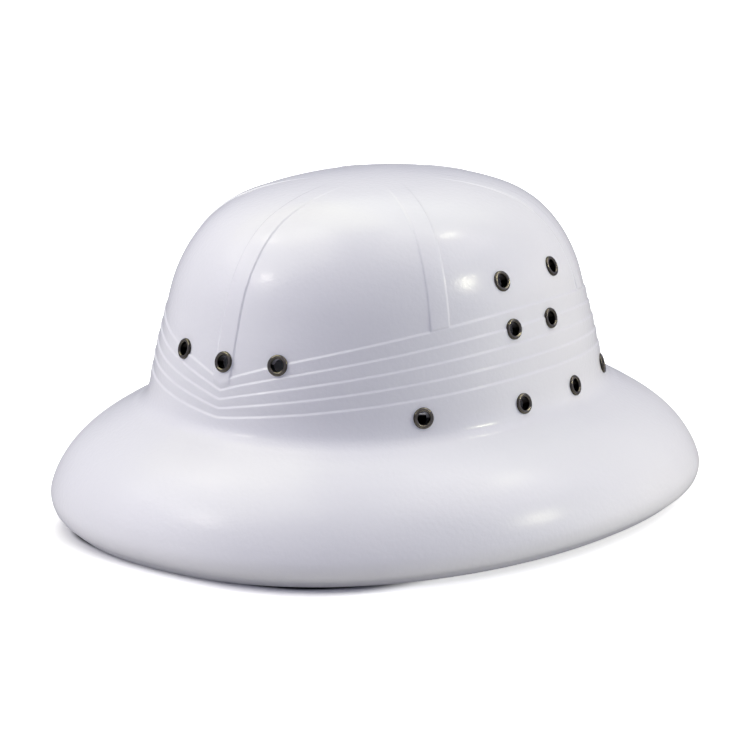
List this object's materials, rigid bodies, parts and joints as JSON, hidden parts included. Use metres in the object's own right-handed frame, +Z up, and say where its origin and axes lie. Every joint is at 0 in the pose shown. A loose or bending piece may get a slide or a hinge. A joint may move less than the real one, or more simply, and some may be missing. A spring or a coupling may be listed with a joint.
{
  "type": "plastic sun helmet",
  "caption": "White moulded plastic sun helmet with a drooping brim, a pleated band, raised strips up the crown and dark metal vent eyelets.",
  "frame": {"origin": "on the floor, at the middle of the hat's bottom", "axes": "+Z up through the crown; the front of the hat faces -Y; the wearer's left side is +X"},
  "size_m": [0.274, 0.312, 0.1495],
  "materials": {
    "shell_plastic": "moulded white plastic, soft gloss",
    "eyelet_metal": "dark gunmetal plating, polished"
  },
  "bodies": {
    "root": {"shell": "shell_plastic", "eyelet_front_middle": "eyelet_metal", "eyelet_left_1_front_pair": "eyelet_metal", "eyelet_left_2_upper": "eyelet_metal", "eyelet_left_3_upper": "eyelet_metal", "eyelet_left_4_lower": "eyelet_metal", "eyelet_left_5_lower": "eyelet_metal", "eyelet_left_6_forward_foot": "eyelet_metal", "eyelet_left_7_foot": "eyelet_metal", "eyelet_left_8_foot": "eyelet_metal", "eyelet_left_9_foot": "eyelet_metal", "eyelet_right_1_front_pair": "eyelet_metal", "eyelet_right_2_upper": "eyelet_metal", "eyelet_right_3_upper": "eyelet_metal", "eyelet_right_4_lower": "eyelet_metal", "eyelet_right_5_lower": "eyelet_metal", "eyelet_right_6_forward_foot": "eyelet_metal", "eyelet_right_7_foot": "eyelet_metal", "eyelet_right_8_foot": "eyelet_metal", "eyelet_right_9_foot": "eyelet_metal"}
  },
  "joints": []
}
